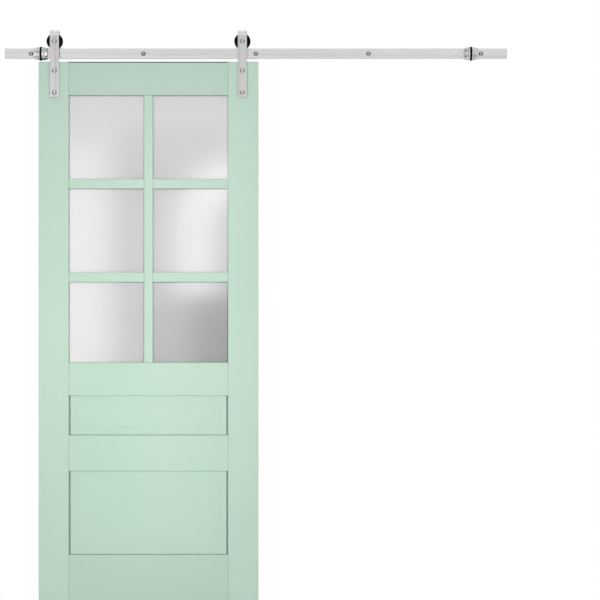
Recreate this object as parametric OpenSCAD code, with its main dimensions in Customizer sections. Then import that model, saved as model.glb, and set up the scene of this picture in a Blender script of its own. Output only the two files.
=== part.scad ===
// Sliding barn door: a stile-and-rail leaf with six glass lites over two raised panels, hung by
// two bent strap hangers from a flat steel track with end stops.
// X runs along the track, +Y runs into the wall and Z is up. The origin lies on the wall plane,
// on the middle fixing of the track. The leaf is drawn at the left end of its travel.

/* [Leaf] */
// Width of the leaf
leaf_width = 800; // [700:1:880]
// Height of the leaf
leaf_height = 2032; // [1960:1:2300]
// Thickness of the stiles and rails
leaf_thickness = 40; // [36:1:46]
// Width of each stile
stile_width = 110; // [100:1:130]
// Height of the top rail
top_rail_height = 122; // [110:1:160]
// Height of the lock rail, between the glass and the upper panel
lock_rail_height = 120; // [90:1:150]
// Height of the middle rail, between the two panels
middle_rail_height = 131; // [90:1:160]
// Height of the bottom rail
bottom_rail_height = 237; // [180:1:300]
// Chamfer along every edge of a stile, rail or bar, which leaves a fine V at each joint
arris = 1.5; // [0.5:0.1:2]

/* [Glazing] */
// How much shorter the lites of the bottom row are than those above
bottom_row_cut = 11; // [0:1:30]
// Width of the vertical glazing bar
bar_width = 32; // [28:1:44]
// Height of each horizontal glazing bar
bar_height = 35; // [28:1:44]
// Step from the face of the leaf down to the face of a glazing bar
bar_setback = 1; // [0:0.5:4]
// Thickness of the glass
glass_thickness = 4; // [3:0.5:6]
// Clearance on each side of the glass in its groove
glass_clearance = 0.25; // [0.1:0.05:0.5]
// Depth of every groove that holds glass or a panel
groove_depth = 10; // [8:0.5:12]
// Space left at the bottom of a groove, past the edge of the glass or panel
groove_play = 2; // [0.5:0.5:3]

/* [Panels] */
// Clear height of the upper panel
upper_panel_height = 144; // [110:1:180]
// Clear height of the lower panel
lower_panel_height = 304; // [220:1:330]
// Thickness of the tongue round each panel
panel_tongue = 6; // [5:0.5:9]
// Thickness of the raised field of each panel
panel_field = 35; // [30:0.5:35.5]
// Height of the small shoulder where the margin meets the field
field_shoulder = 1; // [0.5:0.1:2]
// Width of the sloped margin round the raised field
panel_margin = 29; // [15:1:36]
// Thickness of a panel at the outer edge of its margin
margin_edge = 31.5; // [20:0.5:32]
// Width of the deep channel between each stile and the margin
side_channel = 6; // [4:0.5:14]
// Width of the gap between the rail below and the margin
bottom_channel = 1.5; // [0.5:0.5:10]
// Width of the gap between the rail above and the margin
top_channel = 0.2; // [0.2:0.1:10]
// Clearance on each side of a wooden tongue in its groove
tongue_clearance = 0.2; // [0.1:0.05:0.4]

/* [Dowels] */
// Diameter of the dowels between rails and stiles
dowel_diameter = 10; // [8:1:12]
// Length of each dowel, half in the rail and half in the stile
dowel_length = 60; // [40:2:70]
// Distance from the edge of a rail to the axis of its dowel
dowel_edge = 21; // [18:1:30]
// Radial clearance of a dowel in its hole
dowel_clearance = 0.1; // [0.05:0.05:0.2]
// Glue space past each end of a dowel
dowel_end_gap = 1; // [0.5:0.5:2]

/* [Track] */
// Length of the track
track_length = 1829; // [1700:1:2200]
// Height of the track bar
track_height = 38; // [34:1:44]
// Thickness of the track bar
track_thickness = 6; // [5:0.5:8]
// Chamfer along the edges of the track bar
track_arris = 0.8; // [0.4:0.1:1.2]
// Distance from each end of the track to its last wall fixing
end_margin = 94.5; // [60:0.5:150]
// Gap from the bottom of the track to the top of the leaf
head_gap = 11; // [9:0.5:20]

/* [Wall fixings] */
// Distance from the wall to the back of the track
spacer_length = 38; // [34:1:60]
// Diameter of the wall spacers
spacer_diameter = 20; // [16:1:28]
// Diameter of the plain shank of a lag screw
lag_shank = 8.5; // [8.2:0.1:12]
// Radial clearance of a lag screw in the track and the spacers
fixing_clearance = 0.25; // [0.1:0.05:0.5]
// Diameter of the part of a lag screw that goes into the wall
lag_thread = 8; // [6:0.1:8.1]
// Depth of a lag screw in the wall
lag_depth = 50; // [30:1:80]
// Length of the pointed tip of a lag screw
lag_tip = 8; // [5:1:15]
// Diameter of the blunt end of that tip
lag_point = 2; // [0.5:0.1:4]
// Diameter of the head of a lag screw
lag_head = 17; // [14:0.5:20]
// Height of the head of a lag screw
lag_head_height = 5; // [3:0.5:6]
// Width across flats of the socket in a lag screw
lag_socket = 6; // [4:0.5:8]

/* [Stops] */
// Gap between a stop and the wall spacer at its end of the track
stop_gap = 2; // [1:0.5:60]
// Length of a stop along the track
stop_length = 49; // [44:1:60]
// Thickness of a stop's neck over the top and bottom edges of the track
stop_wall = 2.3; // [1.5:0.1:4]
// Step from the necks up to the sleeve of a stop
stop_step = 2; // [1:0.5:3]
// Length of the neck at each end of a stop
stop_neck_length = 8; // [7:0.5:10]
// Width of the V turned round each half of a stop
stop_line = 3; // [1:0.5:4]
// Chamfer round the ends of a stop and of its sleeve
stop_chamfer = 0.8; // [0.4:0.1:1.2]
// How far the rubber ring stands out of the sleeve
ring_stand = 2; // [1:0.5:3]
// Width of the rubber ring
ring_width = 8; // [6:0.5:14]
// Rounding of the outer edges of the rubber ring
ring_round = 1.5; // [0.5:0.1:2]
// Clearance between the rubber ring and its groove
ring_play = 0.05; // [0.02:0.01:0.1]
// Clearance between a stop and the track on every side
stop_clearance = 0.2; // [0.1:0.05:0.4]
// Diameter of the grub screws that lock a stop
grub_diameter = 5; // [4:0.5:6]
// Distance between the two grub screws of a stop
grub_spacing = 22; // [16:1:24]
// Depth of a grub screw below the neck
grub_recess = 1; // [0.5:0.1:2]
// Width across flats of the socket in a grub screw
grub_socket = 2.5; // [2:0.5:3]
// Depth of the socket in a grub screw
grub_socket_depth = 3; // [2:0.5:4]

/* [Hanger straps] */
// Distance from the edge of the leaf to the middle of a strap
hanger_inset = 58; // [50:1:60]
// Gap along the track between the left strap and the left stop
rest_gap = 9; // [5:0.5:40]
// Width of a strap
strap_width = 33; // [32:1:42]
// Thickness of a strap
strap_thickness = 6; // [5:0.5:8]
// Inside width between the two legs of a strap
strap_inside = 24; // [23:0.5:30]
// Inside radius of the bends of a strap
strap_bend = 7; // [4:0.5:10]
// Gap between the roller and the top of the strap
strap_headroom = 5.7; // [3:0.1:10]
// Length of the short leg below the axle
strap_short_leg = 20; // [16:0.5:21]
// Length of a strap on the face of the leaf
strap_drop = 130; // [120:1:170]
// Rounding of the lower corners of a strap
strap_corner = 3; // [1:0.5:6]
// Distance from the top of the leaf to the upper bolt
upper_bolt_drop = 33; // [25:1:45]
// Distance from the lower end of a strap to the lower bolt
bolt_end_margin = 17; // [14:1:40]
// Radial clearance of the bolts in the straps and the leaf
bolt_clearance = 0.25; // [0.1:0.05:0.5]

/* [Strap bolts] */
// Diameter of the bolts through the straps and the leaf
strap_bolt = 8; // [6:0.5:10]
// Diameter of the head of a strap bolt
strap_bolt_head = 18; // [14:0.5:22]
// Height of the head of a strap bolt
strap_bolt_head_height = 5.5; // [4:0.5:7]
// Width across flats of the socket in a bolt head
bolt_socket = 6; // [4:0.5:8]
// Outer diameter of the barrel of a sleeve nut
sleeve_nut_barrel = 12; // [11.5:0.5:14]
// Length of the barrel of a sleeve nut inside the leaf
sleeve_nut_length = 20; // [14:1:26]
// Diameter of the flange of a sleeve nut
sleeve_nut_flange = 22; // [18:1:28]
// Height of the flange of a sleeve nut
sleeve_nut_flange_height = 3; // [2:0.5:4]
// Space past the end of a bolt and past a barrel inside the leaf
nut_play = 2; // [1:0.5:4]
// Radial clearance that stands for the thread of a nut on its bolt
thread_clearance = 0.05; // [0.02:0.01:0.1]

/* [Rollers] */
// Diameter of the tread at the bottom of the groove
tread_diameter = 51; // [48:0.5:60]
// Height of the flanges above the tread
flange_height = 4; // [3:0.5:6]
// Gap between a roller and each leg of its strap
roller_gap = 2; // [1:0.5:3]
// Gap between the track and each side of the groove at the tread
groove_clearance = 0.5; // [0.3:0.1:1]
// Widening of the groove on each side, from the tread to the rim
groove_flare = 2; // [0.5:0.1:3]
// Gap between the tread and the top of the track
rolling_gap = 0.3; // [0.2:0.05:0.5]
// Thickness of the hub round the bearing
hub_wall = 4; // [2.5:0.5:4.5]
// How far the hub stands past each face of the bearing
hub_lip = 2; // [1.5:0.5:3]
// Chamfer round the ends of the hub
hub_chamfer = 0.6; // [0.3:0.1:1]
// Width of the thin web between hub and rim
web_width = 9; // [8.5:0.5:11]
// Thickness of the rim under the tread
rim_thickness = 4; // [3:0.5:4.5]
// Chamfer round the edges of the rim
rim_chamfer = 1.2; // [0.5:0.1:1.5]

/* [Bearings and axles] */
// Outside diameter of a bearing
bearing_outside = 26; // [25:0.5:27]
// Width of a bearing
bearing_width = 8; // [7:0.5:8]
// Diameter of the balls
ball_diameter = 4.8; // [4:0.1:5.2]
// Number of balls in a bearing
ball_count = 8; // [6:1:9]
// Clearance between a ball and its race
race_clearance = 0.1; // [0.05:0.01:0.12]
// Distance from the ball circle to the edge of each ring
ring_land = 1.8; // [1.2:0.1:2]
// Clearance of a bearing in its hub and on its axle
bearing_fit = 0.05; // [0.02:0.01:0.08]
// Height of the lip that keeps a bearing in its hub
bearing_lip = 1.2; // [0.8:0.1:1.5]
// Diameter of the axle bolts
axle_diameter = 10; // [8:0.5:10.5]
// Diameter of the head of an axle bolt
axle_head = 18; // [16:0.5:24]
// Height of the head of an axle bolt
axle_head_height = 6; // [4:0.5:8]
// Width across flats of an axle nut
axle_nut_flats = 17; // [16:0.5:19]
// Height of an axle nut
axle_nut_height = 8; // [6:0.5:10]
// Length of axle bolt past its nut
axle_end = 2; // [1:0.5:3]
// Outer diameter of the sleeves that centre the roller on its axle
axle_sleeve = 14; // [13:0.5:14.2]

/* [Hidden] */
$fn = 64;
// How far a cut runs past the face that it opens
eps = 1;
leaf_colour = "#bfdcca";
glass_colour = "#dde0e0";
steel_colour = "#c6c7c8";
dark_steel_colour = "#8d9092";
black_colour = "#202122";
dowel_colour = "#d8b98a";

SIDES = ["left", "right"];
COLUMNS = ["left", "right"];
ROWS = ["top", "middle", "bottom"];
BARS = ["upper", "lower"];
FIXINGS = [-2, -1, 0, 1, 2];

// Depths, from the wall towards the viewer
track_back_y = -spacer_length;
track_front_y = track_back_y - track_thickness;
track_mid_y = track_back_y - track_thickness / 2;
leaf_front_y = track_mid_y - strap_inside / 2;
leaf_back_y = leaf_front_y + leaf_thickness;
leaf_mid_y = leaf_front_y + leaf_thickness / 2;
strap_front_y = leaf_front_y - strap_thickness;
short_leg_y = track_mid_y + strap_inside / 2;
strap_back_y = short_leg_y + strap_thickness;

// Places along the track
end_fixing_x = track_length / 2 - end_margin;
fixing_pitch = end_fixing_x / FIXINGS[len(FIXINGS) - 1];
stop_x = end_fixing_x - spacer_diameter / 2 - stop_gap - stop_length / 2;
stop_inner_x = stop_x - stop_length / 2;
leaf_left_x = -stop_inner_x + rest_gap + strap_width / 2 - hanger_inset;
leaf_right_x = leaf_left_x + leaf_width;
leaf_mid_x = (leaf_left_x + leaf_right_x) / 2;
inner_left_x = leaf_left_x + stile_width;
inner_right_x = leaf_right_x - stile_width;
inner_width = inner_right_x - inner_left_x;
lite_width = (inner_width - bar_width) / 2;
column_x = [inner_left_x, inner_right_x - lite_width];
hanger_x = [leaf_left_x + hanger_inset, leaf_right_x - hanger_inset];

// Sizes of the stops and rollers, built up from the track, the axle and the strap
fixing_hole = lag_shank + 2 * fixing_clearance;
stop_neck = track_height + 2 * stop_clearance + 2 * stop_wall;
stop_diameter = stop_neck + 2 * stop_step;
ring_diameter = stop_diameter + 2 * ring_stand;
sleeve_end_x = stop_length / 2 - stop_neck_length;
stop_line_x = (ring_width / 2 + sleeve_end_x) / 2;
roller_diameter = tread_diameter + 2 * flange_height;
roller_width = strap_inside - 2 * roller_gap;
groove_width = track_thickness + 2 * groove_clearance;
hub_diameter = bearing_outside + 2 * hub_wall;
hub_width = bearing_width + 2 * hub_lip;

// Heights, from the track down; the lites share what the rails and panels leave of the leaf
axle_z = track_height / 2 + rolling_gap + tread_diameter / 2;
strap_top_z = axle_z + roller_diameter / 2 + strap_headroom + strap_thickness;
leaf_top_z = -track_height / 2 - head_gap;
leaf_bottom_z = leaf_top_z - leaf_height;
glass_top_z = leaf_top_z - top_rail_height;
bottom_rail_z = leaf_bottom_z + bottom_rail_height;
lower_panel_z = bottom_rail_z + lower_panel_height;
middle_rail_z = lower_panel_z + middle_rail_height;
upper_panel_z = middle_rail_z + upper_panel_height;
lock_rail_z = upper_panel_z + lock_rail_height;
bar_rows = len(ROWS) - 1;
lite_height = (glass_top_z - lock_rail_z - bar_rows * bar_height + bottom_row_cut) / len(ROWS);
lite_heights = [lite_height, lite_height, lite_height - bottom_row_cut];
row_top_z = [for (row = [0 : bar_rows]) glass_top_z - row * (lite_height + bar_height)];
strap_bottom_z = leaf_top_z - strap_drop;
strap_bolt_z = [leaf_top_z - upper_bolt_drop, strap_bottom_z + bolt_end_margin];

// Grooves, tongues and rings
glass_groove = glass_thickness + 2 * glass_clearance;
panel_groove = panel_tongue + 2 * tongue_clearance;
engagement = groove_depth - groove_play;
bar_tongue = glass_groove - 2 * tongue_clearance;
bar_thickness = leaf_thickness - 2 * bar_setback;
axle_bore = axle_diameter / 2 + bearing_fit;
ball_circle = (axle_diameter / 2 + bearing_outside / 2) / 2;
axle_nut_y = strap_back_y + axle_nut_height;

// Every rail as [top edge, height]
RAILS = [
    [leaf_top_z, top_rail_height],
    [lock_rail_z, lock_rail_height],
    [middle_rail_z, middle_rail_height],
    [bottom_rail_z, bottom_rail_height],
];

function spacer_name(i) = str("wall_spacer_", i - FIXINGS[0] + 1);

// Outline of a bar with a chamfer on each of its four corners
module eased_outline(across, along, ease) {
    polygon([
        [ease, 0],
        [across - ease, 0],
        [across, ease],
        [across, along - ease],
        [across - ease, along],
        [ease, along],
        [0, along - ease],
        [0, ease],
    ]);
}

// Moves a profile drawn in Y and Z into place and draws it out along X
module along_x(length) {
    rotate([90, 0, 90])
        linear_extrude(length)
            children();
}

// Block whose front and back edges are chamfered all round
module eased_block(size, ease) {
    intersection() {
        linear_extrude(size.z)
            eased_outline(size.x, size.y, ease);
        along_x(size.x)
            eased_outline(size.y, size.z, ease);
    }
}

// Turns a shape made along Z so that it points into the wall
module into_wall() {
    rotate([-90, 0, 0])
        children();
}

// Round bar or bore through the depth, between two Y values
module rod_y(diameter, from_y, to_y) {
    translate([0, from_y, 0])
        into_wall()
            cylinder(d = diameter, h = to_y - from_y);
}

// Domed screw head on a face at Y = 0, standing towards the viewer, with a hex socket
module button_head(diameter, height, socket) {
    dome = (diameter * diameter / 4 + height * height) / (2 * height);
    rotate([90, 0, 0])
        difference() {
            intersection() {
                cylinder(d = diameter, h = height);
                translate([0, 0, height - dome])
                    sphere(r = dome);
            }
            translate([0, 0, height / 2])
                cylinder(d = socket / cos(30), h = height, $fn = 6);
        }
}

// Groove cut through the middle of the leaf, between two corners in X and Z
module groove(from, to, width) {
    translate([from[0], leaf_mid_y - width / 2, from[1]])
        cube([to[0] - from[0], width, to[1] - from[1]]);
}

// Dowels of every rail at the joint with the left stile, fattened and lengthened for their holes
module dowel_row(clearance, end_gap) {
    for (rail = RAILS)
        for (z = [rail[0] - dowel_edge, rail[0] - rail[1] + dowel_edge])
            translate([inner_left_x - dowel_length / 2 - end_gap, leaf_mid_y, z])
                rotate([0, 90, 0])
                    cylinder(d = dowel_diameter + 2 * clearance, h = dowel_length + 2 * end_gap);
}

// Repeats the left half of the leaf on the right
module mirrored_leaf() {
    translate([2 * leaf_mid_x, 0, 0])
        mirror([1, 0, 0])
            children();
}

module left_stile() {
    bolt_hole = strap_bolt + 2 * bolt_clearance;
    barrel_hole = sleeve_nut_barrel + 2 * bolt_clearance;
    groove_x = inner_left_x - groove_depth;
    color(leaf_colour)
        difference() {
            translate([leaf_left_x, leaf_front_y, leaf_bottom_z])
                eased_block([stile_width, leaf_thickness, leaf_height], arris);
            groove([groove_x, lock_rail_z - groove_depth],
                [inner_left_x + eps, glass_top_z + groove_depth], glass_groove);
            groove([groove_x, middle_rail_z - groove_depth],
                [inner_left_x + eps, upper_panel_z + groove_depth], panel_groove);
            groove([groove_x, bottom_rail_z - groove_depth],
                [inner_left_x + eps, lower_panel_z + groove_depth], panel_groove);
            dowel_row(dowel_clearance, dowel_end_gap);
            for (z = strap_bolt_z)
                translate([hanger_x[0], 0, z]) {
                    rod_y(bolt_hole, leaf_front_y - eps, leaf_back_y + eps);
                    rod_y(barrel_hole, leaf_back_y - sleeve_nut_length - nut_play, leaf_back_y + eps);
                }
        }
}

module right_stile() {
    mirrored_leaf()
        left_stile();
}

// Rail between the stiles, with a groove of the given width in its top and bottom edges
module rail(top_z, height, top_groove, bottom_groove) {
    bottom_z = top_z - height;
    color(leaf_colour)
        difference() {
            translate([inner_left_x, leaf_front_y, bottom_z])
                eased_block([inner_width, leaf_thickness, height], arris);
            if (top_groove > 0)
                groove([inner_left_x - eps, top_z - groove_depth],
                    [inner_right_x + eps, top_z + eps], top_groove);
            if (bottom_groove > 0)
                groove([inner_left_x - eps, bottom_z - eps],
                    [inner_right_x + eps, bottom_z + groove_depth], bottom_groove);
            dowel_row(dowel_clearance, dowel_end_gap);
            mirrored_leaf()
                dowel_row(dowel_clearance, dowel_end_gap);
        }
}

module top_rail() {
    rail(leaf_top_z, top_rail_height, 0, glass_groove);
}

module lock_rail() {
    rail(lock_rail_z, lock_rail_height, glass_groove, panel_groove);
}

module middle_rail() {
    rail(middle_rail_z, middle_rail_height, panel_groove, panel_groove);
}

module bottom_rail() {
    rail(bottom_rail_z, bottom_rail_height, panel_groove, 0);
}

// Upright bar between the top and lock rails, grooved on both sides, with a stub tongue at each end
module vertical_bar() {
    left_x = leaf_mid_x - bar_width / 2;
    right_x = leaf_mid_x + bar_width / 2;
    tongue_width = bar_width - 2 * groove_depth - 2 * tongue_clearance;
    color(leaf_colour)
        union() {
            difference() {
                translate([left_x, leaf_front_y + bar_setback, lock_rail_z])
                    eased_block([bar_width, bar_thickness, glass_top_z - lock_rail_z], arris);
                groove([left_x - eps, lock_rail_z - eps],
                    [left_x + groove_depth, glass_top_z + eps], glass_groove);
                groove([right_x - groove_depth, lock_rail_z - eps],
                    [right_x + eps, glass_top_z + eps], glass_groove);
            }
            groove([leaf_mid_x - tongue_width / 2, lock_rail_z - engagement],
                [leaf_mid_x + tongue_width / 2, glass_top_z + engagement], bar_tongue);
        }
}

// Short bar between a stile and the upright bar, grooved above and below, with stub tongues
module horizontal_bar(row, column) {
    left_x = column_x[column];
    right_x = left_x + lite_width;
    top_z = row_top_z[row] - lite_height;
    bottom_z = top_z - bar_height;
    mid_z = (top_z + bottom_z) / 2;
    tongue_height = bar_height - 2 * groove_depth - 2 * tongue_clearance;
    color(leaf_colour)
        union() {
            difference() {
                translate([left_x, leaf_front_y + bar_setback, bottom_z])
                    eased_block([lite_width, bar_thickness, bar_height], arris);
                groove([left_x - eps, top_z - groove_depth],
                    [right_x + eps, top_z + eps], glass_groove);
                groove([left_x - eps, bottom_z - eps],
                    [right_x + eps, bottom_z + groove_depth], glass_groove);
            }
            groove([left_x - engagement, mid_z - tongue_height / 2],
                [right_x + engagement, mid_z + tongue_height / 2], bar_tongue);
        }
}

// Glass pane, let into the grooves on all four sides
module pane(row, column) {
    bottom_z = row_top_z[row] - lite_heights[row];
    color(glass_colour)
        groove([column_x[column] - engagement, bottom_z - engagement],
            [column_x[column] + lite_width + engagement, row_top_z[row] + engagement], glass_thickness);
}

// Section of a raised panel across one clear opening: tongue, channel, sloped margin, shoulder and
// field, then the same again up to the channel at the far end
module panel_section(opening, near_channel, far_channel) {
    tongue = panel_tongue / 2;
    edge = margin_edge / 2;
    field = panel_field / 2;
    near_field = near_channel + panel_margin;
    far_edge = opening - far_channel;
    far_field = far_edge - panel_margin;
    half = [
        [-engagement, tongue],
        [near_channel, tongue],
        [near_channel, edge],
        [near_field, field - field_shoulder],
        [near_field, field],
        [far_field, field],
        [far_field, field - field_shoulder],
        [far_edge, edge],
        [far_edge, tongue],
        [opening + engagement, tongue],
    ];
    polygon(concat(half, [for (i = [len(half) - 1 : -1 : 0]) [half[i][0], -half[i][1]]]));
}

// Raised panel, the meeting of its section across the width and its section down the height
module raised_panel(top_z, height) {
    color(leaf_colour)
        translate([inner_left_x, leaf_mid_y, top_z - height])
            intersection() {
                translate([0, 0, -engagement])
                    linear_extrude(height + 2 * engagement)
                        panel_section(inner_width, side_channel, side_channel);
                translate([-engagement, 0, 0])
                    along_x(inner_width + 2 * engagement)
                        mirror([1, -1])
                            panel_section(height, bottom_channel, top_channel);
            }
}

module joint_dowels() {
    color(dowel_colour) {
        dowel_row(0, 0);
        mirrored_leaf()
            dowel_row(0, 0);
    }
}

// Flat bar with a row of holes for the wall fixings
module track_bar() {
    color(steel_colour)
        difference() {
            translate([-track_length / 2, track_front_y, -track_height / 2])
                eased_block([track_length, track_thickness, track_height], track_arris);
            for (i = FIXINGS)
                translate([i * fixing_pitch, 0, 0])
                    rod_y(fixing_hole, track_front_y - eps, track_back_y + eps);
        }
}

// Tube between the wall and the back of the track
module wall_spacer(i) {
    color(steel_colour)
        translate([i * fixing_pitch, 0, 0])
            difference() {
                rod_y(spacer_diameter, track_back_y, 0);
                rod_y(fixing_hole, track_back_y - eps, eps);
            }
}

// Lag screw with a domed head on the track, a plain shank and a pointed part for the wall
module lag_screws() {
    color(dark_steel_colour)
        for (i = FIXINGS)
            translate([i * fixing_pitch, 0, 0])
                union() {
                    translate([0, track_front_y, 0])
                        button_head(lag_head, lag_head_height, lag_socket);
                    rod_y(lag_shank, track_front_y, 0);
                    rod_y(lag_thread, 0, lag_depth - lag_tip);
                    translate([0, lag_depth - lag_tip, 0])
                        into_wall()
                            cylinder(d1 = lag_thread, d2 = lag_point, h = lag_tip);
                }
}

// Puts a stop's own shapes at the left or right end of the track, its axis along the track
module at_stop(side) {
    translate([side == 0 ? -stop_x : stop_x, track_mid_y, 0])
        children();
}

// Half of the turned outline of a stop sleeve, from the ring groove out to the end of the neck
function stop_half() = [
    [stop_neck / 2, ring_width / 2],
    [stop_diameter / 2, ring_width / 2],
    [stop_diameter / 2, stop_line_x - stop_line / 2],
    [stop_diameter / 2 - stop_line / 2, stop_line_x],
    [stop_diameter / 2, stop_line_x + stop_line / 2],
    [stop_diameter / 2, sleeve_end_x - stop_chamfer],
    [stop_diameter / 2 - stop_chamfer, sleeve_end_x],
    [stop_neck / 2, sleeve_end_x],
    [stop_neck / 2, stop_length / 2 - stop_chamfer],
    [stop_neck / 2 - stop_chamfer, stop_length / 2],
    [0, stop_length / 2],
];

// Places of the two grub screws in the neck that faces the leaf, from the middle of the stop
module at_grub_screws(side) {
    neck_x = stop_length / 2 - stop_neck_length / 2;
    for (z = [-grub_spacing / 2, grub_spacing / 2])
        translate([side == 0 ? neck_x : -neck_x, 0, z])
            children();
}

// Turned sleeve that slides over the end of the track, with a groove for the rubber ring
module stop_sleeve(side) {
    half = stop_half();
    slot = [stop_length + 2 * eps, track_thickness + 2 * stop_clearance, track_height + 2 * stop_clearance];
    color(steel_colour)
        at_stop(side)
            difference() {
                rotate([0, 90, 0])
                    rotate_extrude()
                        polygon(concat(half, [for (i = [len(half) - 1 : -1 : 0]) [half[i][0], -half[i][1]]]));
                cube(slot, center = true);
                at_grub_screws(side)
                    rod_y(grub_diameter + 2 * thread_clearance, -stop_neck, 0);
            }
}

// Rubber ring in the groove of a stop, with rounded outer edges
module stop_ring(side) {
    bore = stop_neck / 2 + ring_play;
    outer = ring_diameter / 2;
    half = ring_width / 2 - ring_play;
    color(black_colour)
        at_stop(side)
            rotate([0, 90, 0])
                rotate_extrude() {
                    translate([bore, -half])
                        square([outer - ring_round - bore, 2 * half]);
                    translate([bore, ring_round - half])
                        square([outer - bore, 2 * (half - ring_round)]);
                    for (z = [ring_round - half, half - ring_round])
                        translate([outer - ring_round, z])
                            circle(r = ring_round);
                }
}

// Grub screws that press on the front of the track, with hex sockets towards the viewer
module stop_grub_screws() {
    neck_depth = sqrt(pow(stop_neck / 2, 2) - pow(grub_spacing / 2, 2));
    front_y = grub_recess - neck_depth;
    color(dark_steel_colour)
        for (side = [0, 1])
            at_stop(side)
                at_grub_screws(side)
                    difference() {
                        rod_y(grub_diameter, front_y, -track_thickness / 2);
                        translate([0, front_y - eps, 0])
                            into_wall()
                                cylinder(d = grub_socket / cos(30), h = grub_socket_depth + eps, $fn = 6);
                    }
}

// Quarter of a bend in the strap, for the corner that faces left and up
module strap_corner_outline() {
    outer = strap_bend + strap_thickness;
    intersection() {
        difference() {
            circle(r = outer);
            circle(r = strap_bend);
        }
        translate([-outer, 0])
            square(outer);
    }
}

// Side view of a strap: long leg on the leaf, squared bend over the roller, short leg behind it
module strap_outline() {
    outer = strap_bend + strap_thickness;
    bend_z = strap_top_z - outer;
    short_z = axle_z - strap_short_leg;
    translate([strap_front_y, strap_bottom_z])
        square([strap_thickness, bend_z - strap_bottom_z]);
    translate([short_leg_y, short_z])
        square([strap_thickness, bend_z - short_z]);
    translate([strap_front_y + outer, strap_top_z - strap_thickness])
        square([strap_back_y - strap_front_y - 2 * outer, strap_thickness]);
    translate([strap_front_y + outer, bend_z])
        strap_corner_outline();
    translate([strap_back_y - outer, bend_z])
        mirror([1, 0])
            strap_corner_outline();
}

// Front view of a strap, with its lower corners rounded
module strap_front_outline() {
    half = strap_width / 2;
    translate([-half, strap_bottom_z + strap_corner])
        square([strap_width, strap_top_z - strap_bottom_z]);
    translate([strap_corner - half, strap_bottom_z])
        square([strap_width - 2 * strap_corner, 2 * strap_corner]);
    for (x = [strap_corner - half, half - strap_corner])
        translate([x, strap_bottom_z + strap_corner])
            circle(r = strap_corner);
}

// Bent flat bar that carries the leaf from the axle
module strap(side) {
    depth = strap_back_y - strap_front_y;
    color(steel_colour)
        translate([hanger_x[side], 0, 0])
            difference() {
                intersection() {
                    translate([-strap_width / 2, 0, 0])
                        along_x(strap_width)
                            strap_outline();
                    translate([0, strap_back_y + eps, 0])
                        rotate([90, 0, 0])
                            linear_extrude(depth + 2 * eps)
                                strap_front_outline();
                }
                translate([0, 0, axle_z])
                    rod_y(axle_diameter + 2 * bolt_clearance, strap_front_y - eps, strap_back_y + eps);
                for (z = strap_bolt_z)
                    translate([0, 0, z])
                        rod_y(strap_bolt + 2 * bolt_clearance, strap_front_y - eps, leaf_front_y + eps);
            }
}

// Puts a roller's own shapes on its axle, turned about Y
module at_axle(side) {
    translate([hanger_x[side], track_mid_y, axle_z])
        into_wall()
            children();
}

// Half of the turned outline of a roller, from the tread out to the hub, towards positive side
function roller_half() = [
    [tread_diameter / 2, groove_width / 2],
    [roller_diameter / 2, groove_width / 2 + groove_flare],
    [roller_diameter / 2, roller_width / 2 - rim_chamfer],
    [roller_diameter / 2 - rim_chamfer, roller_width / 2],
    [tread_diameter / 2 - rim_thickness + rim_chamfer, roller_width / 2],
    [tread_diameter / 2 - rim_thickness, web_width / 2],
    [hub_diameter / 2, web_width / 2],
    [hub_diameter / 2, hub_width / 2 - hub_chamfer],
    [hub_diameter / 2 - hub_chamfer, hub_width / 2],
];

// Grooved roller with a dished web and a seat for its bearing, lipped on the wall side
module roller(side) {
    half = roller_half();
    seat = bearing_outside / 2 + bearing_fit;
    lip = bearing_outside / 2 - bearing_lip;
    outer = [for (i = [len(half) - 1 : -1 : 0]) [half[i][0], -half[i][1]]];
    bore = [
        [lip, hub_width / 2],
        [lip, bearing_width / 2],
        [seat, bearing_width / 2],
        [seat, -hub_width / 2],
    ];
    color(black_colour)
        at_axle(side)
            rotate_extrude()
                polygon(concat(outer, half, bore));
}

// Ring of a bearing between two radii, with a race cut round the ball circle
module bearing_ring(side, inner, outer) {
    color(dark_steel_colour)
        at_axle(side)
            rotate_extrude()
                difference() {
                    translate([inner, -bearing_width / 2])
                        square([outer - inner, bearing_width]);
                    translate([ball_circle, 0])
                        circle(d = ball_diameter + 2 * race_clearance);
                }
}

module bearing_outer(side) {
    bearing_ring(side, ball_circle + ring_land, bearing_outside / 2);
}

module bearing_inner(side) {
    bearing_ring(side, axle_bore, ball_circle - ring_land);
}

module bearing_balls(side) {
    color(steel_colour)
        at_axle(side)
            for (i = [0 : ball_count - 1])
                rotate([0, 0, i * 360 / ball_count])
                    translate([ball_circle, 0, 0])
                        sphere(d = ball_diameter);
}

// Bolt through both legs of the strap, domed at the front
module axle_bolt(side) {
    color(dark_steel_colour)
        translate([hanger_x[side], 0, axle_z])
            union() {
                translate([0, strap_front_y, 0])
                    button_head(axle_head, axle_head_height, bolt_socket);
                rod_y(axle_diameter, strap_front_y, axle_nut_y + axle_end);
            }
}

// Hex nut against the short leg of the strap
module axle_nut(side) {
    color(dark_steel_colour)
        translate([hanger_x[side], 0, axle_z])
            difference() {
                translate([0, strap_back_y, 0])
                    into_wall()
                        cylinder(d = axle_nut_flats / cos(30), h = axle_nut_height, $fn = 6);
                rod_y(axle_diameter + 2 * thread_clearance, strap_back_y - eps, axle_nut_y + eps);
            }
}

// Two tubes on the axle, from the bearing to the legs of the strap
module axle_sleeves(side) {
    length = (strap_inside - bearing_width) / 2;
    color(steel_colour)
        translate([hanger_x[side], 0, axle_z])
            for (y = [leaf_front_y, short_leg_y - length])
                difference() {
                    rod_y(axle_sleeve, y, y + length);
                    rod_y(2 * axle_bore, y - eps, y + length + eps);
                }
}

// Repeats a fastener at the two bolt places of both straps
module at_strap_bolts() {
    for (x = hanger_x)
        for (z = strap_bolt_z)
            translate([x, 0, z])
                children();
}

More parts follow.
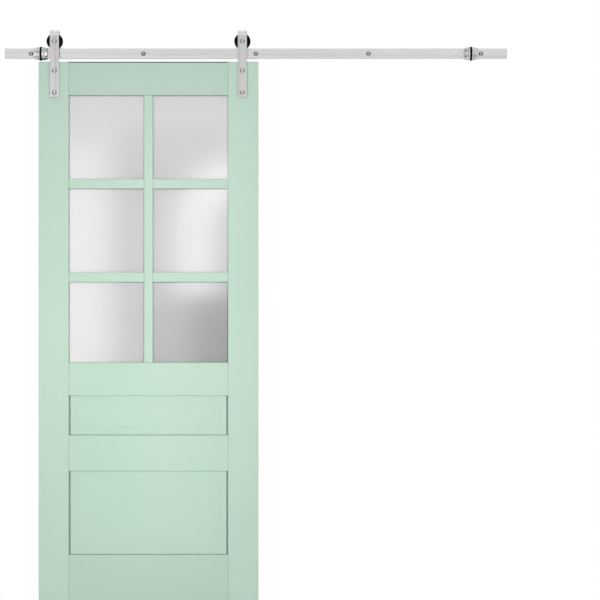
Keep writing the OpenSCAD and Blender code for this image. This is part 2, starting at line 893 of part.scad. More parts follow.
// Bolts from the front of the straps into the sleeve nuts
module strap_bolts() {
    color(dark_steel_colour)
        at_strap_bolts()
            union() {
                translate([0, strap_front_y, 0])
                    button_head(strap_bolt_head, strap_bolt_head_height, bolt_socket);
                rod_y(strap_bolt, strap_front_y, leaf_back_y - nut_play);
            }
}

// Sleeve nuts let into the back of the leaf, each with a low flange and a hex socket
module strap_nuts() {
    flange_y = leaf_back_y + sleeve_nut_flange_height;
    color(dark_steel_colour)
        at_strap_bolts()
            difference() {
                union() {
                    rod_y(sleeve_nut_barrel, leaf_back_y - sleeve_nut_length, leaf_back_y);
                    rod_y(sleeve_nut_flange, leaf_back_y, flange_y);
                }
                rod_y(strap_bolt + 2 * thread_clearance, leaf_back_y - sleeve_nut_length - eps, leaf_back_y);
                translate([0, flange_y - sleeve_nut_flange_height / 2, 0])
                    into_wall()
                        cylinder(d = bolt_socket / cos(30), h = sleeve_nut_flange_height, $fn = 6);
            }
}

left_stile();
right_stile();
top_rail();
lock_rail();
middle_rail();
bottom_rail();
vertical_bar();
for (column = [0, 1]) {
    for (row = [0, 1])
        horizontal_bar(row, column);
    for (row = [0 : 2])
        pane(row, column);
}
raised_panel(upper_panel_z, upper_panel_height);  // upper_panel
raised_panel(lower_panel_z, lower_panel_height);  // lower_panel
joint_dowels();
track_bar();
for (i = FIXINGS)
    wall_spacer(i);
lag_screws();
stop_grub_screws();
for (side = [0, 1]) {
    stop_sleeve(side);
    stop_ring(side);
    strap(side);
    roller(side);
    bearing_outer(side);
    bearing_inner(side);
    bearing_balls(side);
    axle_bolt(side);
    axle_nut(side);
    axle_sleeves(side);
}
strap_bolts();
strap_nuts();
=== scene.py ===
"""Sliding barn door on a flat steel track, dressed around its solids."""
import math

import bpy
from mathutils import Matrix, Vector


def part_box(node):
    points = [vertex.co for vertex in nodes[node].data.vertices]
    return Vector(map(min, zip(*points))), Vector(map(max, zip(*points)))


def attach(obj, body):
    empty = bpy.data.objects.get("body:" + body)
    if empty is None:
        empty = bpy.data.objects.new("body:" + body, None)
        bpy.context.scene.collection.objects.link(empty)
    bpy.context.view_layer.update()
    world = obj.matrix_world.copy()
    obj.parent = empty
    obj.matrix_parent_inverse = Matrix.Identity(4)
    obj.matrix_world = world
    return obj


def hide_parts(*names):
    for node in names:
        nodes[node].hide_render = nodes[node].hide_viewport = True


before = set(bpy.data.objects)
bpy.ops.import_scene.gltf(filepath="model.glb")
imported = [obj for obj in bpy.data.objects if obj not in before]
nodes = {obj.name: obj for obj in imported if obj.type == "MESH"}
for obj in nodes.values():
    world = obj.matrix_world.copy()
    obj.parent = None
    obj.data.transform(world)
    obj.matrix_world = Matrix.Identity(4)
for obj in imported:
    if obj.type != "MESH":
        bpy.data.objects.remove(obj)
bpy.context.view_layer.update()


# Track bar: a flat length of stainless steel, brushed along its length after rolling, so the grain runs
# in long fine streaks. Its edges are eased with a file, and five screws hold it on its spacers.
TRACK_LIGHT = "d3d3d2"
TRACK_DARK = "c2c2c1"
TRACK_STREAKS = (9, 500, 900)
TRACK_ROUGHNESS = (0.26, 0.42)
BRUSH_DEPTH = 0.00006
CLOUD_SHARE = 0.06


def linear(digits):
    """Linear colour of six hex digits."""
    parts = [int(digits[i:i + 2], 16) / 255 for i in (0, 2, 4)]
    return [c / 12.92 if c <= 0.04045 else ((c + 0.055) / 1.055) ** 2.4 for c in parts] + [1.0]


def start_finish(name, plain):
    """A finish and its shader, with the sockets that are the same all over set to plain values."""
    finish = bpy.data.materials.new(name)
    finish.use_nodes = True
    shader = finish.node_tree.nodes["Principled BSDF"]
    for socket, value in plain.items():
        shader.inputs[socket].default_value = value
    return finish, finish.node_tree, shader


def add(tree, kind, inputs, **settings):
    """A shader node whose inputs are plain values or other nodes' outputs."""
    node = tree.nodes.new("ShaderNode" + kind)
    for name, value in settings.items():
        setattr(node, name, value)
    for name, value in inputs.items():
        if isinstance(value, bpy.types.NodeSocket):
            tree.links.new(value, node.inputs[name])
        else:
            node.inputs[name].default_value = value
    return node


def grain(tree, stretch, detail):
    """Noise over the piece, with so many grains in a metre along X, Y and Z."""
    place = add(tree, "TexCoord", {}).outputs["Object"]
    placed = add(tree, "Mapping", {"Vector": place, "Scale": stretch}).outputs["Vector"]
    return add(tree, "TexNoise", {"Vector": placed, "Scale": 1.0, "Detail": detail}).outputs["Fac"]


def tones(tree, amount, dark, light, start=0.3, end=0.7):
    """Colour that goes from dark to light with an amount."""
    ramp = add(tree, "ValToRGB", {"Fac": amount})
    ramp.color_ramp.elements[0].position = start
    ramp.color_ramp.elements[0].color = linear(dark)
    ramp.color_ramp.elements[1].position = end
    ramp.color_ramp.elements[1].color = linear(light)
    return ramp.outputs["Color"]


def spread(tree, amount, low, high, start=0.3, end=0.7):
    """Number that goes from low to high with an amount."""
    return add(tree, "MapRange", {"Value": amount, "From Min": start, "From Max": end,
                                  "To Min": low, "To Max": high}).outputs["Result"]


def relief(tree, amount, depth, strength):
    """Fine relief of a surface, so many metres deep."""
    return add(tree, "Bump", {"Height": amount, "Distance": depth, "Strength": strength}).outputs["Normal"]


def wire(tree, shader, sockets):
    """Links patterns to the shader's sockets."""
    for socket, output in sockets.items():
        tree.links.new(output, shader.inputs[socket])


def brushed_steel(name, stretch, dark, light, roughness):
    """Stainless steel with brush streaks: stretch is low along the brushing and high across it."""
    finish, tree, shader = start_finish(name, {"Metallic": 1.0})
    streaks = grain(tree, stretch, detail=5.0)
    clouds = grain(tree, [count * CLOUD_SHARE for count in stretch], detail=2.0)
    both = add(tree, "Math", {0: streaks, 1: clouds}, operation="ADD").outputs[0]
    wire(tree, shader, {
        "Base Color": tones(tree, both, dark, light, start=0.7, end=1.3),
        "Roughness": spread(tree, streaks, *roughness),
        "Normal": relief(tree, streaks, BRUSH_DEPTH, strength=0.6),
    })
    return finish


def dress(finish, *names):
    """Gives a finish to solids."""
    for name in names:
        for slot in nodes[name].material_slots:
            slot.material = finish


dress(brushed_steel("brushed_track", TRACK_STREAKS, TRACK_DARK, TRACK_LIGHT, TRACK_ROUGHNESS), "track_bar")


# Spacers: short tubes parted off from steel bar on a lathe, one behind the track at each screw. The
# tool leaves fine rings round them.
SPACER_DARK = "b4b5b6"
SPACER_LIGHT = "d2d3d3"
SPACER_RINGS = (0, 1400, 0)
SPACER_ROUGHNESS = (0.24, 0.4)
SMUDGES = (60, 60, 60)
TOOL_MARK_DEPTH = 0.00004


def turned_steel(name, stretch, dark, light, roughness):
    """Steel from the lathe: stretch is high only along the axis, so the tool marks run round it."""
    finish, tree, shader = start_finish(name, {"Metallic": 1.0})
    rings = grain(tree, stretch, detail=4.0)
    smudges = grain(tree, SMUDGES, detail=2.0)
    wire(tree, shader, {
        "Base Color": tones(tree, smudges, dark, light),
        "Roughness": spread(tree, rings, *roughness),
        "Normal": relief(tree, rings, TOOL_MARK_DEPTH, strength=0.5),
    })
    return finish


spacers = ["wall_spacer_%d" % number for number in range(1, 6)]
dress(turned_steel("turned_spacer", SPACER_RINGS, SPACER_DARK, SPACER_LIGHT, SPACER_ROUGHNESS), *spacers)


# Lag screws: zinc-plated steel, cold-headed with a hex socket and rolled with a coarse thread for timber
# that narrows to a point. Each one goes through the track and its spacer.
LAG_DARK = "97999b"
LAG_LIGHT = "bdbebf"
PLATE_CLOUDS = (220, 220, 220)
PLATE_SPECKLE = (3000, 3000, 3000)
PLATE_SPECKLE_DEPTH = 0.00001
PLATE_ROUGHNESS = (0.2, 0.36)
LAG_HEAD = 0.0085
LAG_HEAD_HEIGHT = 0.005
LAG_SOCKET = 0.006
LAG_SHANK = 0.00425
LAG_SHANK_END = -0.001
LAG_NECK = 0.0
LAG_THREAD_START = 0.0005
LAG_CREST = 0.004
LAG_ROOT = 0.0029
LAG_PITCH = 0.0035
LAG_FADE_IN = 0.004
LAG_TIP_LENGTH = 0.008
LAG_POINT_LENGTH = 0.001
LAG_POINT_WIDE = 0.0013
LAG_POINT_NARROW = 0.0005
ROUND = 48
SHARP_FROM = math.radians(38)
SOCKET_MIDDLE = 0.12
SOCKET_TAPER = 0.99
SOCKET_LIP = 1.22
SOCKET_CHAMFER = 0.0003
DOME_STEPS = 8
RIM_SHARE = 0.985
TURN_ROWS = 10
RIDGE_HALF = 0.32


def plated_steel(name, dark, light):
    """Plated steel of a screw: slightly cloudy, with a fine satin speckle."""
    finish, tree, shader = start_finish(name, {"Metallic": 1.0})
    clouds = grain(tree, PLATE_CLOUDS, detail=3.0)
    speckle = grain(tree, PLATE_SPECKLE, detail=2.0)
    wire(tree, shader, {
        "Base Color": tones(tree, clouds, dark, light),
        "Roughness": spread(tree, clouds, *PLATE_ROUGHNESS),
        "Normal": relief(tree, speckle, PLATE_SPECKLE_DEPTH, strength=0.4),
    })
    return finish


def axis_of(node):
    """X and Z of the middle of a solid that lies along Y."""
    low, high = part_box(node)
    return (low.x + high.x) / 2, (low.z + high.z) / 2


def angle_of(step):
    """Angle of one step round a ring."""
    return 2 * math.pi * step / ROUND


def circle(radius):
    """Radii of a round ring."""
    return [radius] * ROUND


def hexagon(flats):
    """Radii of a six-sided ring with that width across its flats."""
    sixth = math.pi / 3
    return [flats / 2 / math.cos((angle_of(i) % sixth) - sixth / 2) for i in range(ROUND)]


def button_head(front, face, radius, flats):
    """Rings of a domed head with a hex socket, from the bottom of the socket out to the rim."""
    height = face - front
    dome = (radius ** 2 + height ** 2) / (2 * height)
    lip = flats / 2 * SOCKET_LIP

    def dome_y(r):
        """Y of the dome's surface at a radius."""
        return front + dome - math.sqrt(dome ** 2 - r ** 2)

    rings = [
        (front + height / 2, circle(flats * SOCKET_MIDDLE)),
        (front + height / 2, hexagon(flats * SOCKET_TAPER)),
        (dome_y(lip) + SOCKET_CHAMFER, hexagon(flats)),
        (dome_y(lip), circle(lip)),
    ]
    for step in range(1, DOME_STEPS + 1):
        r = lip + (radius - lip) * math.sin(step / DOME_STEPS * math.pi / 2)
        rings.append((min(dome_y(min(r, radius)), face), circle(r)))
    rings.append((face, circle(radius * RIM_SHARE)))
    return rings


def thread(start, end, pitch, root, crest, fade_in):
    """Rings of a rolled thread; each ring is nudged round its turn, so the ridge climbs as a helix."""
    rings = []
    count = int((end - start) / pitch * TURN_ROWS)
    for row in range(count + 1):
        y = start + (end - start) * row / count
        ease = min(1.0, (y - start) / fade_in)
        radii = []
        for i in range(ROUND):
            turn = (y / pitch - i / ROUND) % 1.0
            ridge = max(0.0, 1 - abs(turn - 0.5) / RIDGE_HALF)
            radii.append(root + (crest - root) * ridge * ease)
        rings.append((y, radii))
    return rings


def loft(name, sets):
    """One mesh of several turned pieces, each a list of rings at (x, z), closed at both ends."""
    points = []
    faces = []
    for (x, z), rings in sets:
        first = len(points)
        for y, radii in rings:
            points += [(x + r * math.cos(angle_of(i)), y, z + r * math.sin(angle_of(i)))
                       for i, r in enumerate(radii)]
        for row in range(len(rings) - 1):
            a = first + row * ROUND
            faces += [(a + i, a + ROUND + i, a + ROUND + (i + 1) % ROUND, a + (i + 1) % ROUND)
                      for i in range(ROUND)]
        faces.append(tuple(first + i for i in range(ROUND)))
        faces.append(tuple(first + len(rings) * ROUND - 1 - i for i in range(ROUND)))
    mesh = bpy.data.meshes.new(name)
    mesh.from_pydata(points, [], faces)
    mesh.validate()
    mesh.polygons.foreach_set("use_smooth", [True] * len(mesh.polygons))
    mesh.set_sharp_from_angle(angle=SHARP_FROM)
    piece = bpy.data.objects.new(name, mesh)
    bpy.context.scene.collection.objects.link(piece)
    return piece


lag_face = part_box("track_bar")[0].y
lag_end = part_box("lag_screws")[1].y
thread_end = lag_end - LAG_TIP_LENGTH
lag_rings = button_head(lag_face - LAG_HEAD_HEIGHT, lag_face, LAG_HEAD, LAG_SOCKET)
lag_rings += [(lag_face, circle(LAG_SHANK)), (LAG_SHANK_END, circle(LAG_SHANK))]
lag_rings += [(LAG_NECK, circle(LAG_ROOT))]
lag_rings += thread(LAG_THREAD_START, thread_end, LAG_PITCH, LAG_ROOT, LAG_CREST, LAG_FADE_IN)
lag_rings += [(lag_end - LAG_POINT_LENGTH, circle(LAG_POINT_WIDE)), (lag_end, circle(LAG_POINT_NARROW))]
lags = loft("lag_screws_threaded", [(axis_of(spacer), lag_rings) for spacer in spacers])
lags.data.materials.append(plated_steel("lag_steel", LAG_DARK, LAG_LIGHT))
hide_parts("lag_screws")
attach(lags, "track")


# End stops: stainless sleeves turned with a neck at each end and slotted to slide over the track. Two
# blackened grub screws in the inner neck lock each one, and a rubber ring sits in its groove as a buffer.
STOP_DARK = "c2c3c4"
STOP_LIGHT = "e4e4e4"
STOP_RINGS = (1600, 0, 0)
STOP_ROUGHNESS = (0.28, 0.42)
GRUB_DARK = "0b0b0c"
GRUB_LIGHT = "1d1d1e"
RUBBER_DARK = "060606"
RUBBER_LIGHT = "111112"
RUBBER_BLOOM = (180, 180, 180)
RUBBER_PORES = (2400, 2400, 2400)
RUBBER_PORE_DEPTH = 0.00003
RUBBER_ROUGHNESS = (0.62, 0.8)

dress(turned_steel("turned_stop", STOP_RINGS, STOP_DARK, STOP_LIGHT, STOP_ROUGHNESS),
      "left_stop_sleeve", "right_stop_sleeve")
dress(plated_steel("blackened_steel", GRUB_DARK, GRUB_LIGHT), "stop_grub_screws")

rubber, tree, shader = start_finish("black_rubber", {"Specular IOR Level": 0.08})
bloom = grain(tree, RUBBER_BLOOM, detail=4.0)
pores = grain(tree, RUBBER_PORES, detail=2.0)
wire(tree, shader, {
    "Base Color": tones(tree, bloom, RUBBER_DARK, RUBBER_LIGHT),
    "Roughness": spread(tree, bloom, *RUBBER_ROUGHNESS),
    "Normal": relief(tree, pores, RUBBER_PORE_DEPTH, strength=0.5),
})
dress(rubber, "left_stop_ring", "right_stop_ring")


# Leaf frame: stiles and rails of solid board, grooved and dowelled together, with a fine V at each
# joint, then sprayed with a satin mint paint that carries painted shade, a little darker in the corners and
# channels.
# The top and bottom rails carry painted shade, a slightly darker tone for the light that falls off at the
# top and bottom of the door, and a dark grey band runs along the top rail's upper edge.
PAINT = "bbd4c4"
PAINT_DEEP = "b7d1c1"
SHADED_RAIL_PAINT = "b6cfbf"
SHADED_RAIL_PAINT_DEEP = "b3ccbc"
PAINT_DRIFT = (2.2, 2.2, 1.4)
PAINT_SPRAY = (420, 420, 420)
PAINT_SPRAY_DEPTH = 0.00012
PAINT_ROUGHNESS = (0.42, 0.5)
HOLLOW_SHADE_TONE = 0.88
HOLLOW_SHADE_REACH = 0.016
HOLLOW_SHADE_CLOSED = 0.4
HOLLOW_SHADE_OPEN = 0.88
TOP_BAND_GREY = "59635e"
TOP_BAND_DEPTH = 0.0045
TOP_BAND_TRACE = 0.000675
TOP_BAND_FADE = 0.0009


def mint_paint(name, deep, light, band_from):
    """Satin paint on board: drifts a little in tone, carries painted shade in its hollows and turns dark
    grey above a height.
    """
    finish, tree, shader = start_finish(name, {"Specular IOR Level": 0.4})
    drift = grain(tree, PAINT_DRIFT, detail=2.0)
    spray = grain(tree, PAINT_SPRAY, detail=3.0)
    # Painted shade: where ambient occlusion finds corners and channels, the paint is made a little darker.
    open_air = add(tree, "AmbientOcclusion", {"Distance": HOLLOW_SHADE_REACH}, samples=8).outputs["AO"]
    lightness = spread(tree, open_air, HOLLOW_SHADE_TONE, 1.0, HOLLOW_SHADE_CLOSED, HOLLOW_SHADE_OPEN)
    coat = tones(tree, drift, deep, light)
    shaded = add(tree, "HueSaturation", {"Color": coat, "Value": lightness}).outputs["Color"]
    # Above the given height the paint turns dark grey, a band along the leaf's top edge.
    place = add(tree, "TexCoord", {}).outputs["Object"]
    height = add(tree, "SeparateXYZ", {"Vector": place}).outputs["Z"]
    top_band = spread(tree, height, 0.0, 1.0, band_from, band_from + TOP_BAND_FADE)
    banded = add(tree, "MixRGB", {"Fac": top_band, "Color1": shaded, "Color2": linear(TOP_BAND_GREY)})
    wire(tree, shader, {
        "Base Color": banded.outputs["Color"],
        "Roughness": spread(tree, spray, *PAINT_ROUGHNESS),
        "Normal": relief(tree, spray, PAINT_SPRAY_DEPTH, strength=0.25),
    })
    return finish


leaf_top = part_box("top_rail")[1].z
paint = mint_paint("mint_paint", PAINT_DEEP, PAINT, leaf_top - TOP_BAND_TRACE)
dress(paint, "left_stile", "right_stile", "lock_rail", "middle_rail")
# Painted shade: the top and bottom rails take a slightly darker tone, for the light that falls off at the
# top and bottom of the door.
shaded_rail_paint = mint_paint("mint_paint_shaded", SHADED_RAIL_PAINT_DEEP, SHADED_RAIL_PAINT, leaf_top - TOP_BAND_DEPTH)
dress(shaded_rail_paint, "top_rail", "bottom_rail")


# Glazing bars: one upright bar and four short cross bars between the lites, moulded from the same board
# and painted with the frame. They stand a millimetre back from its face.
SIDES = ("left", "right")

bars = ["vertical_bar"] + [row + "_" + side + "_bar" for row in ("upper", "lower") for side in SIDES]
dress(paint, *bars)


# Panes: six sheets of glass, etched with acid on both faces and let into the grooves of the bars and the
# frame. The etching scatters light to a milky grey and still mirrors the room softly, and a painted shadow
# darkens each pane along its edges, most along the top and the right, where the frame would cast it.
GLASS = "aeaeae"
GLASS_DEEP = "a8a8a8"
GLASS_ETCH = (5, 5, 5)
GLASS_FROST = (2600, 2600, 2600)
GLASS_FROST_DEPTH = 0.00002
GLASS_ROUGHNESS = (0.5, 0.6)
EDGE_SHADOW_REACH = 0.0038
EDGE_SHADOW_LEAN = (1.0, 0.0, 0.8)
EDGE_SHADOW_DARK = 0.62
EDGE_SHADOW_CLEAR = 0.95

glass, tree, shader = start_finish("frosted_glass", {
    "IOR": 1.5, "Transmission Weight": 0.35, "Coat Weight": 1.0, "Coat Roughness": 0.15, "Coat IOR": 2.9})
etch = grain(tree, GLASS_ETCH, detail=3.0)
frost = grain(tree, GLASS_FROST, detail=2.0)
# Painted shadow: occlusion leaning towards the lamp at the upper right darkens the glass near the top and
# right edges of each pane.
outward = add(tree, "NewGeometry", {}).outputs["Normal"]
leaning = add(tree, "VectorMath", {0: outward, 1: EDGE_SHADOW_LEAN}, operation="ADD").outputs["Vector"]
lit_side = add(tree, "VectorMath", {0: leaning}, operation="NORMALIZE").outputs["Vector"]
open_air = add(tree, "AmbientOcclusion", {"Distance": EDGE_SHADOW_REACH, "Normal": lit_side},
               samples=8).outputs["AO"]
milk = tones(tree, etch, GLASS_DEEP, GLASS)
shade = spread(tree, open_air, 0.0, 1.0, EDGE_SHADOW_DARK, EDGE_SHADOW_CLEAR)
wire(tree, shader, {
    "Base Color": add(tree, "HueSaturation", {"Color": milk, "Value": shade}).outputs["Color"],
    "Roughness": spread(tree, etch, *GLASS_ROUGHNESS),
    "Normal": relief(tree, frost, GLASS_FROST_DEPTH, strength=0.3),
})
panes = [row + "_" + side + "_pane" for row in ("top", "middle", "bottom") for side in SIDES]
dress(glass, *panes)


# Raised panels: two boards with a tongue all round, a deep channel, a sloped margin and a flat field.
# They float in the grooves of the frame and carry its paint.
dress(paint, "upper_panel", "lower_panel")


# Dowels: plain beech pegs, cut to length from rod. They are glued into the rails and the stiles and lie
# hidden inside the joints.
BEECH_DARK = "c79a6b"
BEECH_LIGHT = "e2c197"
BEECH_FIBRES = (40, 900, 900)
BEECH_FIBRE_DEPTH = 0.0001
BEECH_ROUGHNESS = (0.55, 0.75)

beech, tree, shader = start_finish("beech_dowel", {"Specular IOR Level": 0.3})
fibres = grain(tree, BEECH_FIBRES, detail=4.0)
wire(tree, shader, {
    "Base Color": tones(tree, fibres, BEECH_DARK, BEECH_LIGHT),
    "Roughness": spread(tree, fibres, *BEECH_ROUGHNESS),
    "Normal": relief(tree, fibres, BEECH_FIBRE_DEPTH, strength=0.4),
})
dress(beech, "joint_dowels")


# Hanger straps: flat stainless bar bent over the roller into a J, brushed down its length and eased
# along every edge. A painted highlight makes the bend paler, and the long leg is bolted to the stile.
STRAP_LIGHT = "c7c6c5"
STRAP_DARK = "b0afaf"
STRAP_SHEEN = "efeeed"
STRAP_STREAKS = (900, 900, 12)
STRAP_ROUGHNESS = (0.28, 0.44)
STRAP_EDGE = 0.0007
BEND_DEPTH = 0.024
BEND_CROWN = 0.006
WELD_REACH = 0.000002
EASE_FROM = math.radians(40)


def soften(radius, *names):
    """Rounds the sharp edges of solids by a small radius."""
    for name in names:
        weld = nodes[name].modifiers.new("weld", "WELD")
        weld.merge_threshold = WELD_REACH
        bevel = nodes[name].modifiers.new("soften", "BEVEL")
        bevel.width = radius
        bevel.segments = 2
        bevel.limit_method = "ANGLE"
        bevel.angle_limit = EASE_FROM
        bevel.harden_normals = True


straps = ["left_strap", "right_strap"]
strap_steel = brushed_steel("brushed_strap", STRAP_STREAKS, STRAP_DARK, STRAP_LIGHT, STRAP_ROUGHNESS)
tree = strap_steel.node_tree
shader = tree.nodes["Principled BSDF"]
streaks = shader.inputs["Base Color"].links[0].from_socket
place = add(tree, "TexCoord", {}).outputs["Object"]
height = add(tree, "SeparateXYZ", {"Vector": place}).outputs["Z"]
strap_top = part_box("left_strap")[1].z
# Painted highlight: the top of the bend is mixed towards a pale steel, for the light it mirrors from above.
bend = spread(tree, height, 0.0, 1.0, strap_top - BEND_DEPTH, strap_top - BEND_CROWN)
painted_sheen = add(tree, "MixRGB", {"Fac": bend, "Color1": streaks, "Color2": linear(STRAP_SHEEN)})
wire(tree, shader, {"Base Color": painted_sheen.outputs["Color"]})
dress(strap_steel, *straps)
soften(STRAP_EDGE, *straps)


# Rollers: grooved wheels turned from black nylon, with a dished web and a seat for the bearing. The
# tool leaves faint rings round the axle.
NYLON_DARK = "050505"
NYLON_LIGHT = "0d0d0e"
NYLON_MIDDLE = (-0.5, 0.0, -0.5)
NYLON_PLANE = (1.0, 0.0, 1.0)
NYLON_RINGS = 120.0
NYLON_RING_DEPTH = 0.00004
NYLON_SCUFFS = (300, 300, 300)
NYLON_ROUGHNESS = (0.32, 0.5)

nylon, tree, shader = start_finish("black_nylon", {"Specular IOR Level": 0.08})
wheel = add(tree, "TexCoord", {}).outputs["Generated"]
centred = add(tree, "Mapping", {"Vector": wheel, "Location": NYLON_MIDDLE}).outputs["Vector"]
flat = add(tree, "VectorMath", {0: centred, 1: NYLON_PLANE}, operation="MULTIPLY").outputs["Vector"]
reach = add(tree, "VectorMath", {0: flat}, operation="LENGTH").outputs["Value"]
rings = add(tree, "TexNoise", {"W": reach, "Scale": NYLON_RINGS, "Detail": 3.0},
            noise_dimensions="1D").outputs["Fac"]
scuffs = grain(tree, NYLON_SCUFFS, detail=4.0)
wire(tree, shader, {
    "Base Color": tones(tree, scuffs, NYLON_DARK, NYLON_LIGHT),
    "Roughness": spread(tree, rings, *NYLON_ROUGHNESS),
    "Normal": relief(tree, rings, NYLON_RING_DEPTH, strength=0.4),
})
dress(nylon, "left_roller", "right_roller")


# Bearings and axle sleeves: ground and hardened steel rings with balls between them, pressed into the
# hub, and two plain tubes that hold the roller midway between the legs of its strap.
BEARING_DARK = "a9abad"
BEARING_LIGHT = "cfd1d2"
BEARING_RINGS = (0, 2200, 0)
BEARING_ROUGHNESS = (0.1, 0.2)

bearing_steel = turned_steel("bearing_steel", BEARING_RINGS, BEARING_DARK, BEARING_LIGHT, BEARING_ROUGHNESS)
for side in SIDES:
    dress(bearing_steel, side + "_bearing_outer", side + "_bearing_inner", side + "_bearing_balls",
          side + "_axle_sleeves")


# Axle bolts and nuts: plated steel bolts through both legs of each strap, domed at the front, with a
# rolled thread behind that takes a chamfered hex nut.
SCREW_DARK = "bcbec0"
SCREW_LIGHT = "dfe0e0"
AXLE_HEAD = 0.009
AXLE_HEAD_HEIGHT = 0.006
AXLE_SOCKET = 0.006
AXLE = 0.005
AXLE_ROOT = 0.0044
AXLE_PITCH = 0.0015
AXLE_FADE_IN = 0.001
AXLE_RUNOUT = 0.0006
AXLE_CHAMFER = 0.0004
AXLE_THREAD_LEAD = 0.004
NUT_FLATS = 0.017
NUT_CHAMFER = 0.0011
NUT_CLEARANCE = 0.00005
NUT_ROUNDING = ((0.0, 1.1), (0.5, 0.495), (1.0, 0.0))


def hex_nut(face, back, flats, chamfer, bore):
    """Rings of a hex nut whose corners are turned away at both faces."""
    corner = flats / 2 / math.cos(math.pi / 6)
    front = [(face + chamfer * depth, corner - chamfer * trim) for depth, trim in NUT_ROUNDING]
    rear = [(back - chamfer * depth, corner - chamfer * trim) for depth, trim in reversed(NUT_ROUNDING)]
    sides = [(y, [min(r, limit) for r in hexagon(flats)]) for y, limit in front + rear]
    return [(face, circle(bore))] + sides + [(back, circle(bore))]


screw_steel = plated_steel("screw_steel", SCREW_DARK, SCREW_LIGHT)
axle_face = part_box("left_strap")[0].y
axle_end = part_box("left_axle_bolt")[1].y
nut_low, nut_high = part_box("left_axle_nut")
thread_start = nut_low.y - AXLE_THREAD_LEAD
axle_rings = button_head(axle_face - AXLE_HEAD_HEIGHT, axle_face, AXLE_HEAD, AXLE_SOCKET)
axle_rings += [(axle_face, circle(AXLE)), (thread_start - AXLE_RUNOUT, circle(AXLE))]
axle_rings += thread(thread_start, axle_end - AXLE_RUNOUT, AXLE_PITCH, AXLE_ROOT, AXLE, AXLE_FADE_IN)
axle_rings += [(axle_end, circle(AXLE_ROOT - AXLE_CHAMFER))]
nut_rings = hex_nut(nut_low.y, nut_high.y, NUT_FLATS, NUT_CHAMFER, AXLE + NUT_CLEARANCE)
for side in SIDES:
    axis = axis_of(side + "_axle_bolt")
    bolt = loft(side + "_axle_bolt_threaded", [(axis, axle_rings)])
    nut = loft(side + "_axle_nut_chamfered", [(axis, nut_rings)])
    for piece, node in ((bolt, side + "_axle_bolt"), (nut, side + "_axle_nut")):
        piece.data.materials.append(screw_steel)
        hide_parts(node)
        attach(piece, "door")


# Strap bolts and sleeve nuts: two plated bolts through each strap and stile, drawn into flanged sleeve
# nuts that are let into the back of the leaf.
dress(screw_steel, "strap_bolts", "strap_nuts")


# Studio: a pale floor under the hanging leaf, in a white room that is brightest ahead of and behind the
# door. The glass and the steel mirror bright cards and two of paper, a lamp at the upper right draws the
# edges, with painted shadow along the panes' edges, and the camera stands far back, square to the door.
FLOOR_GAP = 0.010
FLOOR_SIZE = 4.4
FLOOR_BACK = 0.6
FLOOR_GRID = 12
FLOOR_DARK = "e8e8e6"
FLOOR_LIGHT = "ecebe9"
FLOOR_PATCHES = (1.5, 1.5, 1.5)
FLOOR_ROUGHNESS = (0.6, 0.75)
FLOOR_MIDDLE = (-0.2, -0.75, 0.0)
FLOOR_REACH = (1.0 / 2.0, 1.0 / 1.35, 0.0)
FLOOR_FADE = (0.6, 1.0)
CARD_Y = -2.035
CORNER_TILT = math.radians(-38)
UPRIGHT = math.pi / 2
PAPER_Y = -1.235
PAPER_MIDDLE = -1.205
PAPER_HEIGHT = 0.65
PAPER_JOIN = -0.283
ROOM_SIDE = 0.22
ROOM_FACE = 0.75
ROOM_FACE_POWER = 4.0
ROOM_TOP = 0.85
ROOM_TOP_POWER = 2.0
CAMERA_PLACE = (0.1604, -9.053, -0.8977)
FRAME_WIDTH = 2.1846
FRAME_DISTANCE = 9.0
SENSOR = 36.0

leaf_low, leaf_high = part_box("left_stile")
floor_place = (0.0, FLOOR_BACK - FLOOR_SIZE / 2, leaf_low.z - FLOOR_GAP)
bpy.ops.mesh.primitive_grid_add(x_subdivisions=FLOOR_GRID, y_subdivisions=FLOOR_GRID, size=FLOOR_SIZE,
                                location=floor_place)
floor = bpy.context.object
floor.name = "floor"
floor_finish, tree, shader = start_finish("pale_floor", {"Specular IOR Level": 0.2})
patches = grain(tree, FLOOR_PATCHES, detail=3.0)
ground = add(tree, "NewGeometry", {}).outputs["Position"]
outward = add(tree, "VectorMath", {0: ground, 1: FLOOR_MIDDLE}, operation="SUBTRACT").outputs["Vector"]
shares = add(tree, "VectorMath", {0: outward, 1: FLOOR_REACH}, operation="MULTIPLY").outputs["Vector"]
reach = add(tree, "VectorMath", {0: shares}, operation="LENGTH").outputs["Value"]
wire(tree, shader, {
    "Base Color": tones(tree, patches, FLOOR_DARK, FLOOR_LIGHT),
    "Roughness": spread(tree, patches, *FLOOR_ROUGHNESS),
    "Alpha": spread(tree, reach, 1.0, 0.0, *FLOOR_FADE),
})
floor.data.materials.append(floor_finish)


def softbox(name, place, width, height, brightness, tilt=0.0, turn=0.0, mirrored=True):
    """Rectangular light that faces the door, mirrored by the glass and the metal or not."""
    lamp = bpy.data.lights.new(name, "AREA")
    lamp.shape = "RECTANGLE"
    lamp.size = width
    lamp.size_y = height
    lamp.energy = brightness * math.pi * width * height
    box = bpy.data.objects.new(name, lamp)
    box.location = place
    box.rotation_euler = (math.copysign(UPRIGHT, -place[1]), tilt, turn)
    box.visible_camera = False
    box.visible_glossy = mirrored
    bpy.context.scene.collection.objects.link(box)


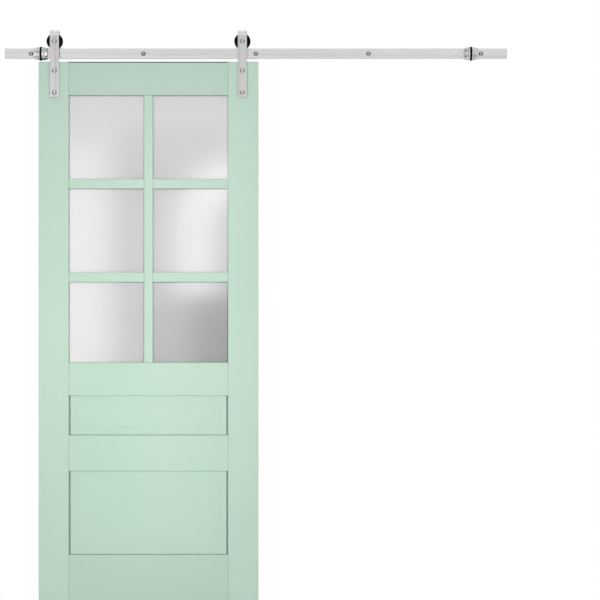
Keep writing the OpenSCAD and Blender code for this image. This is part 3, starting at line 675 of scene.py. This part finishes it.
softbox("left_card", (-0.96, CARD_Y, -0.77), 0.56, 1.12, brightness=1.3)
softbox("high_card", (-0.56, CARD_Y, -0.04), 1.36, 0.18, brightness=0.75)
softbox("upper_card", (-0.93, CARD_Y, -0.03), 0.62, 0.38, brightness=0.68)
softbox("top_card", (-0.275, CARD_Y, -0.11), 0.55, 0.34, brightness=0.2)
softbox("right_card", (-0.305, CARD_Y, -0.675), 0.175, 0.47, brightness=1.5)
softbox("corner_card", (-0.135, CARD_Y, -0.325), 0.44, 0.17, brightness=2.0, tilt=CORNER_TILT)
softbox("track_card", (0.85, CARD_Y, 0.2), 0.9, 0.6, brightness=0.36)
softbox("fill", (-0.39, -1.053, -1.04), 0.3, 1.52, brightness=3.1, mirrored=False)
softbox("key", (0.75, -3.6, 0.35), 0.4, 0.4, brightness=25.0, mirrored=False)
softbox("back_fill", (-0.2, 2.6, -0.6), 1.6, 1.6, brightness=3.2, mirrored=False)
leaf_y = (leaf_low.y + leaf_high.y) / 2
softbox("left_fill", (-3.4, leaf_y, -0.9), 0.6, 2.0, brightness=3.0, turn=-UPRIGHT, mirrored=False)
softbox("right_fill", (2.6, leaf_y, -0.9), 0.6, 2.0, brightness=3.0, turn=UPRIGHT, mirrored=False)


def paper_card(name, left, right, tone):
    """Plain card that only mirrors see, where it hides the bright room."""
    bpy.ops.mesh.primitive_plane_add(size=1.0, location=((left + right) / 2, PAPER_Y, PAPER_MIDDLE),
                                     rotation=(UPRIGHT, 0.0, 0.0))
    card = bpy.context.object
    card.name = name
    card.scale = (right - left, PAPER_HEIGHT, 1.0)
    paper = start_finish(name, {"Base Color": linear(tone), "Roughness": 1.0, "Specular IOR Level": 0.0})[0]
    card.data.materials.append(paper)
    card.visible_camera = False
    card.visible_diffuse = False
    card.visible_shadow = False
    card.visible_transmission = False


paper_card("grey_card", PAPER_JOIN, 0.16, "747474")
paper_card("pale_card", -0.47, PAPER_JOIN, "f4f4f4")

world = bpy.data.worlds.new("studio")
bpy.context.scene.world = world
world.use_nodes = True
tree = world.node_tree
room = tree.nodes["Background"]
room.inputs["Color"].default_value = (1.0, 1.0, 1.0, 1.0)
toward = add(tree, "SeparateXYZ", {"Vector": add(tree, "TexCoord", {}).outputs["Generated"]})


def maths(operation, first, second, third=0.0):
    """Result of one step of arithmetic."""
    return add(tree, "Math", {0: first, 1: second, 2: third}, operation=operation).outputs[0]


facing = maths("POWER", maths("ABSOLUTE", toward.outputs["Y"], 0.0), ROOM_FACE_POWER)
above = maths("POWER", maths("ABSOLUTE", toward.outputs["Z"], 0.0), ROOM_TOP_POWER)
walls = maths("MULTIPLY_ADD", facing, ROOM_FACE, ROOM_SIDE)
glow = maths("MULTIPLY_ADD", above, ROOM_TOP, walls)
path = add(tree, "LightPath", {})
seen = maths("MAXIMUM", path.outputs["Is Camera Ray"], path.outputs["Is Transmission Ray"])
tree.links.new(maths("MAXIMUM", glow, seen), room.inputs["Strength"])

bpy.context.scene.view_settings.view_transform = "Standard"
lens = bpy.data.cameras.new("camera")
lens.sensor_width = SENSOR
lens.lens = SENSOR * FRAME_DISTANCE / FRAME_WIDTH
camera = bpy.data.objects.new("camera", lens)
camera.location = CAMERA_PLACE
camera.rotation_euler = (UPRIGHT, 0.0, 0.0)
bpy.context.scene.collection.objects.link(camera)
bpy.context.scene.camera = camera
